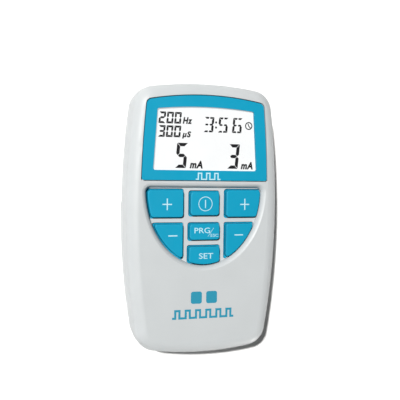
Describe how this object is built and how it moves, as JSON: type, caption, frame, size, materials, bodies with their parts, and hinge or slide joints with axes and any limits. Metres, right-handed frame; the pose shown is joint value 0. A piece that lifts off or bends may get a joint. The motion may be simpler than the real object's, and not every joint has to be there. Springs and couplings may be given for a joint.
{
  "type": "tens unit",
  "caption": "Hand-held nerve stimulator with a display window, fan-shaped keypad, output sockets, sliding battery door and sprung belt clip.",
  "frame": {"origin": "centre of the casing's plan, on the surface that the unit lies on, back down", "axes": "+X across the face to the reader's right, +Y towards the display end, +Z out of the face"},
  "size_m": [0.069, 0.1192, 0.0287],
  "materials": {
    "casing_plastic": "fine spark-eroded texture",
    "blue_plastic": "satin",
    "blue_keys": "satin",
    "clear_window": "polished, faintly frosted",
    "display_glass": "matt rear polariser",
    "dark_plastic": "moulded",
    "light_guide": "milky",
    "silicone": "matt",
    "carbon_rubber": "matt",
    "gold_contacts": "gold flash",
    "board_laminate": "solder mask",
    "tinned_metal": "tinned",
    "ferrite": "sintered",
    "copper_wire": "enamelled",
    "capacitor_sleeve": "shrink sleeve",
    "battery_jacket": "printed steel jacket",
    "screw_steel": "zinc plated",
    "clip_plastic": "fine texture"
  },
  "bodies": {
    "casing": {"battery": "battery_jacket", "battery_contacts": "tinned_metal", "battery_terminals": "tinned_metal", "board_screws": "screw_steel", "buzzer": "dark_plastic", "capacitors": "capacitor_sleeve", "case_screws": "screw_steel", "chip_leads": "tinned_metal", "circuit_board": "board_laminate", "clip_mount": "clip_plastic", "clip_pin": "screw_steel", "clip_screws": "screw_steel", "clip_spring": "screw_steel", "contact_carrier": "dark_plastic", "controller_chip": "dark_plastic", "crystal": "tinned_metal", "display_bezel": "blue_plastic", "display_window": "clear_window", "front_cover": "casing_plastic", "inductor": "ferrite", "key_contact_pads": "gold_contacts", "keypad_mat": "silicone", "lcd_backlight": "light_guide", "lcd_frame": "dark_plastic", "lcd_glass": "display_glass", "output_socket_a": "dark_plastic", "output_socket_b": "dark_plastic", "rear_cover": "casing_plastic", "socket_collars": "gold_contacts", "socket_pins": "tinned_metal", "transformer_cores": "ferrite", "transformer_windings": "copper_wire", "zebra_strips": "silicone"},
    "key_channel_a_down": {"key_channel_a_down": "blue_keys", "contact_pill_channel_a_down": "carbon_rubber"},
    "key_channel_a_up": {"key_channel_a_up": "blue_keys", "contact_pill_channel_a_up": "carbon_rubber"},
    "key_channel_b_down": {"key_channel_b_down": "blue_keys", "contact_pill_channel_b_down": "carbon_rubber"},
    "key_channel_b_up": {"key_channel_b_up": "blue_keys", "contact_pill_channel_b_up": "carbon_rubber"},
    "key_power": {"key_power": "blue_keys", "contact_pill_power": "carbon_rubber"},
    "key_program": {"key_program": "blue_keys", "contact_pill_program": "carbon_rubber"},
    "key_set": {"key_set": "blue_keys", "contact_pill_set": "carbon_rubber"},
    "door": {"battery_door": "casing_plastic"},
    "clip": {"clip_arm": "clip_plastic"}
  },
  "joints": [
    {"name": "key_channel_a_down_press", "type": "slide", "parent": "casing", "child": "key_channel_a_down", "axis": [0, 0, -1], "range_m": [0, 0.0007], "stiffness_N_per_m": 2000},
    {"name": "key_channel_a_up_press", "type": "slide", "parent": "casing", "child": "key_channel_a_up", "axis": [0, 0, -1], "range_m": [0, 0.0007], "stiffness_N_per_m": 2000},
    {"name": "key_channel_b_down_press", "type": "slide", "parent": "casing", "child": "key_channel_b_down", "axis": [0, 0, -1], "range_m": [0, 0.0007], "stiffness_N_per_m": 2000},
    {"name": "key_channel_b_up_press", "type": "slide", "parent": "casing", "child": "key_channel_b_up", "axis": [0, 0, -1], "range_m": [0, 0.0007], "stiffness_N_per_m": 2000},
    {"name": "key_power_press", "type": "slide", "parent": "casing", "child": "key_power", "axis": [0, 0, -1], "range_m": [0, 0.0007], "stiffness_N_per_m": 2000},
    {"name": "key_program_press", "type": "slide", "parent": "casing", "child": "key_program", "axis": [0, 0, -1], "range_m": [0, 0.0007], "stiffness_N_per_m": 2000},
    {"name": "key_set_press", "type": "slide", "parent": "casing", "child": "key_set", "axis": [0, 0, -1], "range_m": [0, 0.0007], "stiffness_N_per_m": 2000},
    {"name": "door_slide", "type": "slide", "parent": "casing", "child": "door", "axis": [0, -1, 0], "range_m": [0, 0.052]},
    {"name": "clip_hinge", "type": "hinge", "parent": "casing", "child": "clip", "pos_m": [0, 0.045, 0.00375], "axis": [1, 0, 0], "range_deg": [0, 14], "stiffness_Nm_per_rad": 0.6, "deforming": ["clip_spring"]}
  ]
}
